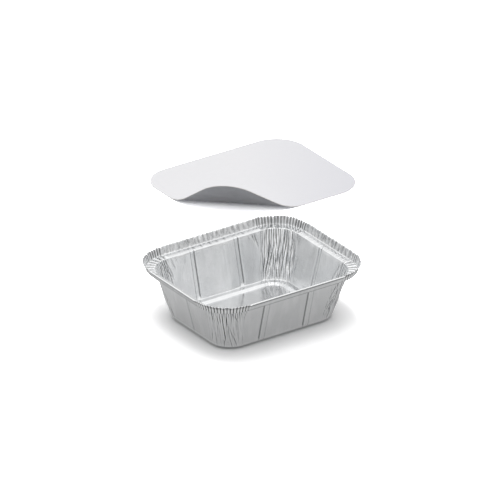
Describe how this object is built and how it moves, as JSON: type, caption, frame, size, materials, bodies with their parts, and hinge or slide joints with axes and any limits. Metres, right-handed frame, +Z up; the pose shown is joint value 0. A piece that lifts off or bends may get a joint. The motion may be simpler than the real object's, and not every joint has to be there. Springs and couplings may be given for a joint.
{
  "type": "foil food container with board lid",
  "caption": "Rectangular foil tray with ribbed sloping walls, a flat flange and an upstanding pleated lip, and its separate flat lid with one curled corner.",
  "frame": {"origin": "middle of the tray's foot, on the table", "axes": "+Z up, +X along the tray's length, +Y across it, towards the lid"},
  "size_m": [0.2739, 0.3078, 0.046],
  "materials": {
    "foil": "bright rolled foil, pleated at the corners",
    "lid_board": "white board above, foil laminated below"
  },
  "bodies": {
    "root": {"tray": "foil", "lid": "lid_board"}
  },
  "joints": []
}
